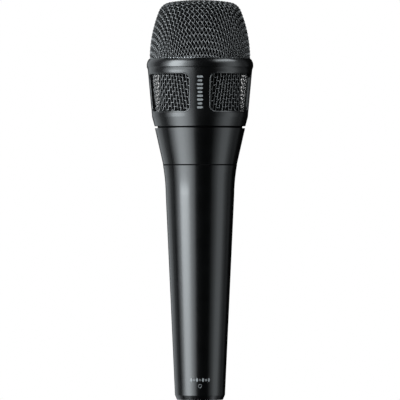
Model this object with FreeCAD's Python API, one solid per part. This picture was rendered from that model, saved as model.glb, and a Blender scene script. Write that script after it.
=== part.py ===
import FreeCAD, Part
import math
import os

# A hand-held dynamic vocal microphone, in millimetres. The origin is the centre of the round end
# face that holds the socket, +Z runs along the handle to the head, and -Y is the front.

# Gaps between pieces
fit_gap = 0.05  # radial gap between turned pieces that fit into each other
thread_gap = 0.10  # radial gap that stands in for the head's screw thread
soft_gap = 0.20  # gap between a foam liner and the pieces that move past it
tool_reach = 10.0  # how far a cutting shape runs past what it cuts

# Socket in the end of the handle
pin_radius = 1.2
pin_circle_radius = 3.81
pin_length = 13.5
pin_tip_chamfer = 0.5
pin_flange_radius = 1.7
pin_flange_height = 0.8
pin_tail_radius = 0.9
pin_tail_length = 4.0
cavity_radius = 8.1
cavity_depth = 15.0
shell_wall = 1.2
shell_setback = 0.6
insulator_thickness = 5.0
latch_slot_width = 4.4
latch_slot_height = 3.6
latch_slot_depth_in = 3.4  # from the shell's mouth to the slot
lug_width = 2.6
lug_thickness = 0.4
lug_overlap = 0.25  # how far the lug lies on the shell's rim
screw_radius = 1.25
screw_sink = 0.5  # screw's outer end below the handle's surface
screw_slot_width = 0.5
screw_slot_depth = 0.8
screw_tip_from_pin = 1.2  # insulator left between pin 3 and the screw's tip

# Handle
handle_length = 112.4  # end face to seam
handle_top_radius = 17.7
handle_end_wall = 2.65  # metal around the socket
handle_wall = 2.0
end_chamfer_width = 1.0
end_chamfer_height = 2.3
flare_rise = 1.3
flare_length = 14.4
flare_hollow = 0.28
seam_chamfer = 0.25
socket_wall = 2.65  # handle wall around the collar's spigot
seat_lip_width = 0.85
seat_lip_height = 2.0

# Collar
collar_length = 17.5
spigot_length = 8.0
spigot_wall = 1.4
spigot_end_gap = 0.3
neck_inset = 1.8
neck_length = 6.0
neck_wall = 1.6
neck_chamfer = 0.4
cup_depth = 8.9  # collar's top edge down to the ledge that carries the rubber mount
groove_height = 1.0

# Head: cage, meshes and foam
ring_radius = 25.5
collar_inset = 3.9  # ring radius less the collar's top radius
foot_overhang = 0.15
foot_height = 4.3
ridge_inset = 2.57
cone_top_inset = 0.55
cage_wall = 1.3
shelf_gap = 0.5
window_sill = 1.5  # shelf to the windows' lower edge
window_height = 17.7
window_lintel = 1.6
window_corner_radius = 2.6
window_edge_round = 0.3
post_width = 10.5
window_count = 4
ring_step_height = 1.9
ring_step_hollow = 0.12
ring_flat_height = 1.4
shoulder_height = 2.5
shoulder_inset = 1.05
shoulder_bulge = 0.2
lip_width = 0.25
skirt_depth = 3.2  # cage's top edge down to the ledge under the dome's skirt
mesh_thickness = 0.84
dome_height = 28.4
dome_side_radius = 62.5
dome_corner_radius = 6.5
dome_crown_radius = 95.0
clamp_width = 1.2
clamp_height = 4.8
window_mesh_top_gap = 1.2  # top of the window mesh below the skirt's ledge
liner_thickness = 2.0
sleeve_thickness = 1.35
sleeve_top_gap = 1.0  # foam sleeve's top below the cage's top edge

# Rubber mount between collar and cartridge
mount_height = 10.0
mount_outer_wall = 1.6
mount_inner_wall = 1.75
mount_web = 1.6
retainer_height = 2.0
retainer_width = 2.7
retainer_notch_width = 2.4

# Cartridge
cartridge_gap = 2.8  # foam sleeve to cartridge
cap_wall = 0.5
cap_skirt = 4.5
cap_cavity = 2.1
cap_plate = 1.0
cap_lip = 1.1
cap_chamfer = 0.4
cap_hole_radius = 1.1
cap_hole_rings = ((0.0, 1), (4.6, 6), (9.2, 12))  # (circle radius, holes)
front_felt_thickness = 0.6
body_wall = 1.2
body_floor = 2.0
body_rim = 2.4  # diaphragm's seat to the body's top edge
stem_inset = 3.0
chamber_wall = 1.2
chamber_drop = 6.6  # chamber's closed end below the collar's ledge
chamber_socket = 2.4  # how far the chamber runs up into the body
bead_width = 0.8
bead_height = 1.2
bead_gap = 0.3
bead_clearance = 0.8
flange_rise = 5.8  # threaded ring's top to the chamber's flange
flange_height = 1.2
flange_inset = 0.6
seal_height = 0.6
magnet_seat_rise = 9.4  # body's underside to the shelf under the magnet cup
magnet_shelf_height = 2.0
magnet_shelf_radius_inset = 2.8
port_count = 8
port_width = 4.0
port_height = 5.0
port_rise = 1.5
cloth_thickness = 0.2
cloth_margin = 0.8
port_passage = 1.7  # body wall to magnet cup
cup_wall = 2.2
cup_base = 2.0
coil_clearance = 0.25
coil_thickness = 0.5
coil_height = 3.2
magnet_inset = 0.3
magnet_height = 5.0
vent_radius = 2.0
pole_height = 2.5
diaphragm_gap = 0.5
film_thickness = 0.12
surround_height = 0.7
film_dome_height = 2.4
rim_width = 0.85
rim_ledge_height = 1.0
clamp_ring_height = 1.5
rear_felt_thickness = 0.7
board_inset = 2.0
board_thickness = 1.6
terminal_inset = 3.0
terminal_radius = 0.6
terminal_length = 2.2

# Wires inside the handle
lead_radius = 0.5
bend_share = 0.45  # part of the shorter run that a bend may use at each end

# Radii worked out from the sizes above, from the socket and the head inwards
shell_radius = cavity_radius + shell_wall
insert_bore_radius = shell_radius + fit_gap
handle_end_radius = insert_bore_radius + handle_end_wall
flare_radius = handle_top_radius - flare_rise
spigot_radius = handle_top_radius - socket_wall - fit_gap
spigot_bore_radius = spigot_radius - spigot_wall
collar_top_radius = ring_radius - collar_inset
neck_radius = collar_top_radius - neck_inset
cup_radius = neck_radius - neck_wall
thread_bore_radius = neck_radius + thread_gap
cage_bore_radius = ring_radius - shoulder_inset - lip_width
mesh_radius = cage_bore_radius - fit_gap
clamp_radius = mesh_radius - mesh_thickness - fit_gap
sleeve_radius = thread_bore_radius - soft_gap
cap_radius = sleeve_radius - sleeve_thickness - cartridge_gap
body_radius = cap_radius - cap_wall - fit_gap
body_bore_radius = body_radius - body_wall
cap_bore_radius = body_radius - cap_lip
magnet_shelf_radius = body_bore_radius - magnet_shelf_radius_inset
magnet_cup_radius = body_bore_radius - port_passage
coil_radius = magnet_cup_radius - cup_wall - coil_clearance
pole_radius = coil_radius - coil_thickness - coil_clearance
stem_radius = body_radius - stem_inset
bead_radius = stem_radius + bead_width
collar_bore_radius = bead_radius + bead_clearance
board_radius = stem_radius - board_inset
terminal_offset = board_radius - terminal_inset

# Heights worked out from the sizes above, upwards from the end face
insulator_z = shell_setback + cavity_depth
seat_z = insulator_z + insulator_thickness
tail_top_z = seat_z + pin_tail_length
screw_z = insulator_z + insulator_thickness / 2
seam_z = handle_length
flare_z = seam_z - flare_length
spigot_z = seam_z - spigot_length
collar_top_z = seam_z + collar_length
neck_top_z = collar_top_z + neck_length
ledge_z = collar_top_z - cup_depth
foot_z = collar_top_z + groove_height
shelf_z = neck_top_z + shelf_gap
window_z = shelf_z + window_sill
window_top_z = window_z + window_height
cone_top_z = window_top_z + window_lintel
ring_z = cone_top_z + ring_step_height
ring_top_z = ring_z + ring_flat_height
cage_top_z = ring_top_z + shoulder_height
skirt_z = cage_top_z - skirt_depth
window_mesh_top_z = skirt_z - window_mesh_top_gap
clamp_top_z = window_mesh_top_z + clamp_height
dome_top_z = cage_top_z + dome_height
mount_top_z = ledge_z + mount_height
retainer_top_z = mount_top_z + retainer_height
chamber_z = ledge_z - chamber_drop
flange_z = retainer_top_z + flange_rise
seal_z = flange_z + flange_height
body_z = seal_z + seal_height
magnet_seat_z = body_z + magnet_seat_rise
magnet_z = magnet_seat_z + cup_base
pole_z = magnet_z + magnet_height
pole_top_z = pole_z + pole_height
diaphragm_z = pole_top_z + diaphragm_gap
body_top_z = diaphragm_z + body_rim
cap_plate_z = body_top_z + cap_cavity
board_z = chamber_z - board_thickness
terminal_z = board_z - terminal_length


def at(x, y, z):
    return FreeCAD.Vector(x, y, z)


AXIS = at(0, 0, 1)
CENTRE = at(0, 0, 0)


def chord_bulge(start, end, bulge):
    """The middle of an arc that stands off its chord by bulge, to the right of the way it runs."""
    run = end - start
    across = at(run.z, 0, -run.x)
    across.normalize()
    return (start + end) * 0.5 + across * bulge


def outline_wire(outline):
    """A closed wire in the XZ plane from (radius, height) or (radius, height, bulge) points."""
    edges = []
    places = [at(point[0], 0, point[1]) for point in outline]
    for index, point in enumerate(outline):
        start = places[index - 1]
        end = places[index]
        if (end - start).Length < 1e-6:
            continue
        if len(point) == 3:
            middle = chord_bulge(start, end, point[2])
            edges.append(Part.Arc(start, middle, end).toShape())
        else:
            edges.append(Part.LineSegment(start, end).toShape())
    return Part.Wire(edges)


def turned(outline, angle=360):
    """A solid turned about the Z axis."""
    return Part.Face(outline_wire(outline)).revolve(CENTRE, AXIS, angle)


def ring(inner, outer, low, high):
    return turned([(inner, low), (outer, low), (outer, high), (inner, high)])


def disc(radius, low, high):
    return Part.makeCylinder(radius, high - low, at(0, 0, low))


def peg(radius, x, y, low, high):
    return Part.makeCylinder(radius, high - low, at(x, y, low))


def block(x_range, y_range, z_range):
    sizes = [high - low for low, high in (x_range, y_range, z_range)]
    return Part.makeBox(*sizes, at(x_range[0], y_range[0], z_range[0]))


def around(shape, angle):
    copy = shape.copy()
    copy.rotate(CENTRE, AXIS, angle)
    return copy


def on_circle(radius, count):
    for index in range(count):
        angle = 2 * math.pi * index / count
        yield radius * math.cos(angle), radius * math.sin(angle)


def between(low, high, share):
    return low + (high - low) * share


# Handle and collar


def taper_radius(height):
    """Outside radius of the handle's long taper."""
    share = (height - end_chamfer_height) / (flare_z - end_chamfer_height)
    return between(handle_end_radius, flare_radius, share)


def handle_tube():
    bore_z = seat_z + seat_lip_height
    lip_radius = insert_bore_radius - seat_lip_width
    widening = taper_radius(bore_z) - handle_wall - lip_radius
    bore_top = flare_radius - handle_wall
    socket_z = spigot_z - spigot_end_gap
    socket_radius = spigot_radius + fit_gap
    tube = turned(
        [
            (handle_end_radius - end_chamfer_width, 0),
            (handle_end_radius, end_chamfer_height),
            (flare_radius, flare_z),
            (handle_top_radius, seam_z - seam_chamfer, -flare_hollow),
            (handle_top_radius - seam_chamfer, seam_z),
            (socket_radius, seam_z),
            (socket_radius, socket_z),
            (bore_top, socket_z),
            (bore_top, flare_z),
            (lip_radius + widening, bore_z + widening),
            (lip_radius, bore_z),
            (lip_radius, seat_z),
            (insert_bore_radius, seat_z),
            (insert_bore_radius, 0),
        ]
    )
    return tube.cut(screw_hole(cavity_radius, screw_radius + 3 * fit_gap))


def screw_hole(start, radius):
    """A round hole towards the back, at the height of the socket's locking screw."""
    length = handle_top_radius + tool_reach - start
    return Part.makeCylinder(radius, length, at(0, start, screw_z), at(0, 1, 0))


def collar():
    return turned(
        [
            (spigot_radius, spigot_z),
            (spigot_radius, seam_z),
            (handle_top_radius - seam_chamfer, seam_z),
            (handle_top_radius, seam_z + seam_chamfer),
            (collar_top_radius, collar_top_z),
            (neck_radius, collar_top_z),
            (neck_radius, neck_top_z - neck_chamfer),
            (neck_radius - neck_chamfer, neck_top_z),
            (cup_radius, neck_top_z),
            (cup_radius, ledge_z),
            (collar_bore_radius, ledge_z),
            (collar_bore_radius, seam_z),
            (spigot_bore_radius, seam_z),
            (spigot_bore_radius, spigot_z),
        ]
    )


# Socket


def xlr_shell():
    shell = ring(cavity_radius, shell_radius, shell_setback, seat_z)
    slot_z = shell_setback + latch_slot_depth_in
    half = latch_slot_width / 2
    slot = block((-half, half), (-tool_reach, -cavity_radius / 2), (slot_z, slot_z + latch_slot_height))
    return shell.cut(slot).cut(screw_hole(cavity_radius / 2, screw_radius + fit_gap))


def pin_places():
    """Pins 1 and 2 on a line across the socket, and pin 3 towards the back."""
    return [(-pin_circle_radius, 0), (pin_circle_radius, 0), (0, pin_circle_radius)]


def screw_tip():
    return pin_circle_radius + pin_radius + screw_tip_from_pin


def xlr_insulator():
    insulator = disc(cavity_radius - fit_gap, insulator_z, seat_z)
    for x, y in pin_places():
        insulator = insulator.cut(peg(pin_radius + fit_gap, x, y, insulator_z, seat_z))
    return insulator.cut(screw_hole(screw_tip(), screw_radius + fit_gap))


def xlr_pin(x, y):
    tip_z = insulator_z - pin_length
    tip = Part.makeCone(pin_radius - pin_tip_chamfer, pin_radius, pin_tip_chamfer, at(x, y, tip_z))
    shank = peg(pin_radius, x, y, tip_z + pin_tip_chamfer, seat_z)
    flange = peg(pin_flange_radius, x, y, insulator_z - pin_flange_height, insulator_z)
    tail = peg(pin_tail_radius, x, y, seat_z, tail_top_z)
    return tip.fuse([shank, flange, tail]).removeSplitter()


def ground_lug():
    x, y = pin_places()[0]
    half = lug_width / 2
    strip_x = (-cavity_radius - lug_overlap, x + half)
    strip = block(strip_x, (-half, half), (seat_z, seat_z + lug_thickness))
    return strip.cut(peg(pin_tail_radius + fit_gap, x, y, seat_z, tail_top_z))


def xlr_screw():
    outer_end = taper_radius(screw_z) - screw_sink
    length = outer_end - screw_tip()
    screw = Part.makeCylinder(screw_radius, length, at(0, screw_tip(), screw_z), at(0, 1, 0))
    half = screw_slot_width / 2
    slot_y = (outer_end - screw_slot_depth, outer_end + tool_reach)
    reach = screw_radius + tool_reach
    return screw.cut(block((-reach, reach), slot_y, (screw_z - half, screw_z + half)))


# Head


def cone_radius(height):
    """Outside radius of the cage's cone."""
    low = (foot_z + foot_height, ring_radius - ridge_inset)
    high = (cone_top_z, ring_radius - cone_top_inset)
    return between(low[1], high[1], (height - low[0]) / (high[0] - low[0]))


def window_cutter():
    """A wedge between two posts, with its four radial edges rounded."""
    middle_radius = cone_radius((window_z + window_top_z) / 2)
    post_angle = 2 * math.degrees(math.asin(post_width / 2 / middle_radius))
    step = 360 / window_count
    inner = thread_bore_radius / 2
    outer = ring_radius + tool_reach
    wedge = turned(
        [(inner, window_z), (outer, window_z), (outer, window_top_z), (inner, window_top_z)],
        step - post_angle,
    )
    corners = [edge for edge in wedge.Edges if is_level_line(edge)]
    wedge = wedge.makeFillet(window_corner_radius, corners)
    return around(wedge, post_angle / 2)


def is_level_line(edge):
    ends = [vertex.Point for vertex in edge.Vertexes]
    return isinstance(edge.Curve, Part.Line) and abs(ends[0].z - ends[1].z) < 1e-6


def on_cone(point):
    inside = window_z - window_edge_round < point.z < window_top_z + window_edge_round
    return inside and abs(math.hypot(point.x, point.y) - cone_radius(point.z)) < 1e-3


def grille_cage():
    ring_top_radius = ring_radius - shoulder_inset
    cage = turned(
        [
            (thread_bore_radius, foot_z),
            (collar_top_radius + foot_overhang, foot_z),
            (ring_radius - ridge_inset, foot_z + foot_height),
            (ring_radius - cone_top_inset, cone_top_z),
            (ring_radius, ring_z, -ring_step_hollow),
            (ring_radius, ring_top_z),
            (ring_top_radius, cage_top_z, shoulder_bulge),
            (cage_bore_radius, cage_top_z),
            (cage_bore_radius, skirt_z),
            (cone_radius(skirt_z) - cage_wall, skirt_z),
            (cone_radius(shelf_z) - cage_wall, shelf_z),
            (thread_bore_radius, shelf_z),
        ]
    )
    cutter = window_cutter()
    for index in range(window_count):
        cage = cage.cut(around(cutter, index * 360 / window_count))
    rims = [edge for edge in cage.Edges if all(on_cone(v.Point) for v in edge.Vertexes)]
    return cage.makeFillet(window_edge_round, rims)


def corner_arc(inset):
    """Start, middle and end of the dome's corner arc, which joins its side arc to its crown arc."""
    side = at(mesh_radius - dome_side_radius, 0, cage_top_z)
    crown = at(0, 0, dome_top_z - dome_crown_radius)
    side_reach = dome_side_radius - dome_corner_radius
    crown_reach = dome_crown_radius - dome_corner_radius
    apart = (side - crown).Length
    along = (crown_reach**2 - side_reach**2 + apart**2) / (2 * apart)
    towards = (side - crown) * (1 / apart)
    across = at(towards.z, 0, -towards.x)
    corner = crown + towards * along + across * math.sqrt(crown_reach**2 - along**2)
    outward_low = (corner - side).normalize()
    outward_high = (corner - crown).normalize()
    radius = dome_corner_radius - inset
    low = corner + outward_low * radius
    high = corner + outward_high * radius
    middle = corner + (outward_low + outward_high).normalize() * radius
    return low, middle, high


def dome_arcs(inset):
    """Edges from the dome's foot to its top, inset by some thickness."""
    low, middle, high = corner_arc(inset)
    foot = at(mesh_radius - inset, 0, cage_top_z)
    top = at(0, 0, dome_top_z - inset)
    side_centre = at(mesh_radius - dome_side_radius, 0, cage_top_z)
    side_out = ((foot + low) * 0.5 - side_centre).normalize()
    side_middle = side_centre + side_out * (dome_side_radius - inset)
    crown_centre = at(0, 0, dome_top_z - dome_crown_radius)
    crown_out = ((high + top) * 0.5 - crown_centre).normalize()
    crown_middle = crown_centre + crown_out * (dome_crown_radius - inset)
    return [
        Part.Arc(foot, side_middle, low).toShape(),
        Part.Arc(low, middle, high).toShape(),
        Part.Arc(high, crown_middle, top).toShape(),
    ]


def dome_shell(outer_inset, thickness, foot):
    """A dome-shaped shell whose straight skirt or cut edge stands at height foot."""
    inner_inset = outer_inset + thickness
    outer_foot = at(mesh_radius - outer_inset, 0, foot)
    inner_foot = at(mesh_radius - inner_inset, 0, foot)
    outer = dome_arcs(outer_inset)
    inner = dome_arcs(inner_inset)
    skirt = [
        Part.LineSegment(inner_foot, outer_foot).toShape(),
        Part.LineSegment(outer_foot, at(mesh_radius - outer_inset, 0, cage_top_z)).toShape(),
        Part.LineSegment(inner_foot, at(mesh_radius - inner_inset, 0, cage_top_z)).toShape(),
    ]
    crest = Part.LineSegment(at(0, 0, dome_top_z - outer_inset), at(0, 0, dome_top_z - inner_inset)).toShape()
    loop = Part.sortEdges(outer + inner + skirt + [crest])[0]
    return Part.Face(Part.Wire(loop)).revolve(CENTRE, AXIS, 360)


def dome_foam():
    inset = mesh_thickness + soft_gap
    whole = dome_shell(inset, liner_thickness, skirt_z)
    return whole.cut(disc(ring_radius, skirt_z - tool_reach, clamp_top_z + soft_gap))


def window_foam():
    top = cage_top_z - sleeve_top_gap
    return ring(sleeve_radius - sleeve_thickness, sleeve_radius, shelf_z + thread_gap, top)


def window_mesh():
    outer_low = cone_radius(shelf_z) - cage_wall - fit_gap
    outer_high = cone_radius(window_mesh_top_z) - cage_wall - fit_gap
    return turned(
        [
            (outer_low - mesh_thickness, shelf_z),
            (outer_low, shelf_z),
            (outer_high, window_mesh_top_z),
            (outer_high - mesh_thickness, window_mesh_top_z),
        ]
    )


def grille_o_ring():
    section = groove_height / 2
    centre_radius = neck_radius + fit_gap + section
    return Part.makeTorus(centre_radius, section, at(0, 0, collar_top_z + section))


# Rubber mount


def shock_mount():
    inner = stem_radius + fit_gap
    outer = cup_radius - fit_gap
    web_z = ledge_z + (mount_height - mount_web) / 2
    return turned(
        [
            (inner, ledge_z),
            (inner + mount_inner_wall, ledge_z),
            (inner + mount_inner_wall, web_z),
            (outer - mount_outer_wall, web_z),
            (outer - mount_outer_wall, ledge_z),
            (outer, ledge_z),
            (outer, mount_top_z),
            (outer - mount_outer_wall, mount_top_z),
            (outer - mount_outer_wall, web_z + mount_web),
            (inner + mount_inner_wall, web_z + mount_web),
            (inner + mount_inner_wall, mount_top_z),
            (inner, mount_top_z),
        ]
    )


def shock_mount_retainer():
    outer = cup_radius - fit_gap
    retainer = ring(outer - retainer_width, outer, mount_top_z, retainer_top_z)
    half = retainer_notch_width / 2
    notch_z = (retainer_top_z - retainer_height / 2, retainer_top_z + tool_reach)
    return retainer.cut(block((-cup_radius, cup_radius), (-half, half), notch_z))


# Cartridge


def rear_chamber():
    inner = stem_radius - chamber_wall
    top = body_z + chamber_socket
    low_bead = ledge_z - bead_gap
    high_bead = mount_top_z + bead_gap
    flange_radius = body_radius - flange_inset
    return turned(
        [
            (0, chamber_z),
            (stem_radius, chamber_z),
            (stem_radius, low_bead - bead_height),
            (bead_radius, low_bead - bead_height),
            (bead_radius, low_bead),
            (stem_radius, low_bead),
            (stem_radius, high_bead),
            (bead_radius, high_bead),
            (bead_radius, high_bead + bead_height),
            (stem_radius, high_bead + bead_height),
            (stem_radius, flange_z),
            (flange_radius, flange_z),
            (flange_radius, seal_z),
            (stem_radius, seal_z),
            (stem_radius, top),
            (inner, top),
            (inner, chamber_z + chamber_wall),
            (0, chamber_z + chamber_wall),
        ]
    )


def terminals():
    pegs = [peg(terminal_radius, side * terminal_offset, 0, terminal_z, board_z) for side in (1, -1)]
    return Part.makeCompound(pegs)


def cartridge_body():
    stem_bore = stem_radius + fit_gap
    rim_radius = body_bore_radius - rim_width
    body = turned(
        [
            (stem_bore, body_z),
            (body_radius, body_z),
            (body_radius, body_top_z),
            (body_bore_radius, body_top_z),
            (body_bore_radius, diaphragm_z),
            (rim_radius, diaphragm_z),
            (rim_radius, diaphragm_z - rim_ledge_height),
            (body_bore_radius, diaphragm_z - rim_ledge_height),
            (body_bore_radius, magnet_seat_z),
            (magnet_shelf_radius, magnet_seat_z),
            (magnet_shelf_radius, magnet_seat_z - magnet_shelf_height),
            (body_bore_radius, magnet_seat_z - magnet_shelf_height),
            (body_bore_radius, body_z + body_floor),
            (stem_bore, body_z + body_floor),
        ]
    )
    port_z = magnet_seat_z + port_rise
    half = port_width / 2
    depth = (body_bore_radius - cloth_thickness, body_radius + tool_reach)
    port = block(depth, (-half, half), (port_z, port_z + port_height))
    for index in range(port_count):
        body = body.cut(around(port, (index + 0.5) * 360 / port_count))
    return body


def port_cloth():
    low = magnet_seat_z + port_rise - cloth_margin
    high = magnet_seat_z + port_rise + port_height + cloth_margin
    return ring(body_bore_radius - cloth_thickness, body_bore_radius, low, high)


def magnet_cup():
    bore = magnet_cup_radius - cup_wall
    return turned(
        [
            (vent_radius, magnet_seat_z),
            (magnet_cup_radius, magnet_seat_z),
            (magnet_cup_radius, pole_top_z),
            (bore, pole_top_z),
            (bore, magnet_z),
            (vent_radius, magnet_z),
        ]
    )


def diaphragm():
    outer = body_bore_radius - fit_gap
    surround_out = outer - rim_width
    surround_in = coil_radius + coil_clearance
    dome_edge = coil_radius - coil_thickness
    low = diaphragm_z
    high = diaphragm_z + film_thickness
    return turned(
        [
            (0, low + film_dome_height),
            (dome_edge, low, film_bulge(dome_edge)),
            (surround_in, low),
            (surround_out, low, -surround_height),
            (outer, low),
            (outer, high),
            (surround_out, high),
            (surround_in, high, surround_height),
            (dome_edge, high),
            (0, high + film_dome_height, -film_bulge(dome_edge)),
        ]
    )


def film_bulge(edge_radius):
    """How far half of the film's dome stands off the chord from its top to its edge."""
    sphere = (edge_radius**2 + film_dome_height**2) / (2 * film_dome_height)
    half_chord = math.hypot(edge_radius, film_dome_height) / 2
    return -(sphere - math.sqrt(sphere**2 - half_chord**2))


def front_cap():
    skirt_bore = body_radius + fit_gap
    top = cap_plate_z + cap_plate
    cap = turned(
        [
            (0, cap_plate_z),
            (cap_bore_radius, cap_plate_z),
            (cap_bore_radius, body_top_z),
            (skirt_bore, body_top_z),
            (skirt_bore, body_top_z - cap_skirt),
            (cap_radius, body_top_z - cap_skirt),
            (cap_radius, top - cap_chamfer),
            (cap_radius - cap_chamfer, top),
            (0, top),
        ]
    )
    for radius, count in cap_hole_rings:
        for x, y in on_circle(radius, count):
            cap = cap.cut(peg(cap_hole_radius, x, y, cap_plate_z, top))
    return cap


# Wires


def bent_path(points):
    """Straight runs joined by tangent arcs. Prints the radius of each bend."""
    edges = []
    start = points[0]
    for before, corner, after in zip(points, points[1:], points[2:]):
        run_in = corner - before
        run_out = after - corner
        half_turn = run_in.getAngle(run_out) / 2
        reach = bend_share * min(run_in.Length, run_out.Length)
        radius = reach / math.tan(half_turn)
        print("bend radius", round(radius, 1))
        arc_start = corner - run_in * (reach / run_in.Length)
        arc_end = corner + run_out * (reach / run_out.Length)
        inward = ((arc_start + arc_end) * 0.5 - corner).normalize()
        arc_middle = corner + inward * radius * (1 / math.cos(half_turn) - 1)
        edges.append(Part.LineSegment(start, arc_start).toShape())
        edges.append(Part.Arc(arc_start, arc_middle, arc_end).toShape())
        start = arc_end
    edges.append(Part.LineSegment(start, points[-1]).toShape())
    return Part.Wire(edges)


def lead(route):
    path = bent_path([at(*point) for point in route])
    section = Part.Wire(Part.makeCircle(lead_radius, path.Edges[0].Vertexes[0].Point, AXIS))
    wire = path.makePipeShell([section], True, False)
    expected = math.pi * lead_radius**2 * path.Length
    print("lead volume over section times length", round(wire.Volume / expected, 4))
    return wire


def lead_height(share):
    return between(tail_top_z, terminal_z, share)


def lead_hot():
    return lead(
        [
            (pin_circle_radius, 0, tail_top_z),
            (pin_circle_radius, 0, lead_height(0.10)),
            (9.5, 0, lead_height(0.25)),
            (10.2, 0, lead_height(0.48)),
            (9.6, 0, lead_height(0.71)),
            (terminal_offset, 0, lead_height(0.86)),
            (terminal_offset, 0, terminal_z),
        ]
    )


def lead_cold():
    return lead(
        [
            (0, pin_circle_radius, tail_top_z),
            (0, pin_circle_radius, lead_height(0.10)),
            (-2.5, 9.2, lead_height(0.25)),
            (-6.2, 8.3, lead_height(0.48)),
            (-9.2, 4.0, lead_height(0.71)),
            (-terminal_offset, 0, lead_height(0.86)),
            (-terminal_offset, 0, terminal_z),
        ]
    )


def all_parts():
    parts = {
        "handle_tube": handle_tube(),
        "collar": collar(),
        "xlr_shell": xlr_shell(),
        "xlr_insulator": xlr_insulator(),
        "ground_lug": ground_lug(),
        "xlr_screw": xlr_screw(),
        "lead_hot": lead_hot(),
        "lead_cold": lead_cold(),
        "grille_cage": grille_cage(),
        "dome_mesh": dome_shell(0, mesh_thickness, skirt_z),
        "window_mesh": window_mesh(),
        "mesh_clamp_ring": ring(clamp_radius - clamp_width, clamp_radius, window_mesh_top_z, clamp_top_z),
        "dome_foam": dome_foam(),
        "window_foam": window_foam(),
        "grille_o_ring": grille_o_ring(),
        "shock_mount": shock_mount(),
        "shock_mount_retainer": shock_mount_retainer(),
        "rear_chamber": rear_chamber(),
        "terminal_board": disc(board_radius, board_z, chamber_z),
        "terminals": terminals(),
        "chamber_seal": ring(stem_radius + fit_gap, body_radius - flange_inset, seal_z, body_z),
        "cartridge_body": cartridge_body(),
        "port_cloth": port_cloth(),
        "rear_felt": disc(magnet_shelf_radius - fit_gap, magnet_seat_z - rear_felt_thickness, magnet_seat_z),
        "magnet_cup": magnet_cup(),
        "magnet": ring(vent_radius, pole_radius - magnet_inset, magnet_z, pole_z),
        "pole_piece": ring(vent_radius, pole_radius, pole_z, pole_top_z),
        "voice_coil": ring(coil_radius - coil_thickness, coil_radius, diaphragm_z - coil_height, diaphragm_z),
        "diaphragm": diaphragm(),
        "diaphragm_ring": ring(
            body_bore_radius - rim_width,
            body_bore_radius - fit_gap,
            diaphragm_z + film_thickness,
            diaphragm_z + film_thickness + clamp_ring_height,
        ),
        "front_felt": disc(cap_bore_radius - fit_gap, cap_plate_z - front_felt_thickness, cap_plate_z),
        "front_cap": front_cap(),
    }
    for number, (x, y) in enumerate(pin_places(), start=1):
        parts[f"xlr_pin_{number}"] = xlr_pin(x, y)
    return parts


os.makedirs("parts", exist_ok=True)
for name, shape in all_parts().items():
    if not shape.isValid():
        print("not a valid shape:", name)
    print(name, len(shape.Solids), "solid", round(shape.Volume, 2))
    shape.exportStep(f"parts/{name}.step")
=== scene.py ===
"""A hand-held dynamic vocal microphone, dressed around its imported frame.

Lengths in this file are in metres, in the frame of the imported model: the origin is the middle of
the round end that takes the cable, +Z runs up the handle to the head, and -Y is the front.
"""

import math

import bmesh
import bpy
from bpy.props import FloatProperty, FloatVectorProperty, IntProperty, PointerProperty
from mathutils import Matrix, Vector, noise
from mathutils.bvhtree import BVHTree


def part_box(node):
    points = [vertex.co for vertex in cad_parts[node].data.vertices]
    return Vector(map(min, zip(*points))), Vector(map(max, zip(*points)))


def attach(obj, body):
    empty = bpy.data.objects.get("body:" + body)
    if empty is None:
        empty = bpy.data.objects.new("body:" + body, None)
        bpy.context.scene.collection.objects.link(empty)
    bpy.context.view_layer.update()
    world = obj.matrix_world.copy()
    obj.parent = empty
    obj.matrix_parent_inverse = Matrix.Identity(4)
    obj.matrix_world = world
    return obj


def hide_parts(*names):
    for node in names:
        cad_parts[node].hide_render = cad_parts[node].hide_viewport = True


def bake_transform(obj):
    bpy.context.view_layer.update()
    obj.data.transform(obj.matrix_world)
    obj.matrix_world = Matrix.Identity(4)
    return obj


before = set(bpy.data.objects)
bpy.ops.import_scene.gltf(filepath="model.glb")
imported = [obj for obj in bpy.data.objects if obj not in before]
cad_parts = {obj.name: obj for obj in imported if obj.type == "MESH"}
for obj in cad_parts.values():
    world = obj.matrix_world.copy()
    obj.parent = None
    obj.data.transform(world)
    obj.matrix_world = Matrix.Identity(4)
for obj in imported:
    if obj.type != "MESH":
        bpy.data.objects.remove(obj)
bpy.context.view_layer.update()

bl_info = {
    "name": "Dynamic vocal microphone",
    "version": (1, 0, 0),
    "blender": (4, 5, 0),
    "location": "3D View > Sidebar > Microphone",
    "description": "Weaves the grille, lines it with foam and finishes every part of a microphone",
    "category": "Object",
}

MM = 0.001

# Edges turned more than this stay sharp
SHARP = math.radians(35)

# Steps round the axis: rubber rings, foam, and the small pieces of the cartridge
RING_STEPS, FOAM_STEPS, SMALL_STEPS = 180, 144, 96

# The dome's outside is three arcs, from its top down: crown, corner and side
CROWN_RADIUS = 95.0 * MM
CORNER_RADIUS = 6.5 * MM
SIDE_RADIUS = 62.5 * MM

# The cage's windows
WINDOW_LOW, WINDOW_HIGH = 137.9 * MM, 155.6 * MM
WINDOW_RADIUS = 23.9 * MM
WINDOW_HALF_ANGLE = math.radians(32.3)
WINDOW_CORNER = 2.6 * MM
CORNER_STEPS, STRAIGHT_STEPS = 6, 12

# The woven mesh. Level wires of the sleeve stand further apart than its uprights, by the spacing.
MESH_THICKNESS = 0.84 * MM
SLEEVE_FOOT_RADIUS = 21.69 * MM
LEVEL_SPACING = 1.12
WANDER_SIZE = 5 * MM
WIRE_ROUNDNESS, WIRE_STEPS = 1, 4

# The foam's walls, and its lumps and grain. Its skin sinks by a depth and a relief, in millimetres.
DOME_FOAM_WALL, WINDOW_FOAM_WALL = 2.0 * MM, 1.35 * MM
FOAM_LUMP, FOAM_GRAIN = 1.1 * MM, 0.5 * MM
FOAM_SINK, FOAM_RELIEF = 0.10, 0.09
DOME_FOAM_ROWS, WINDOW_FOAM_ROWS = 40, 26

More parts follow.
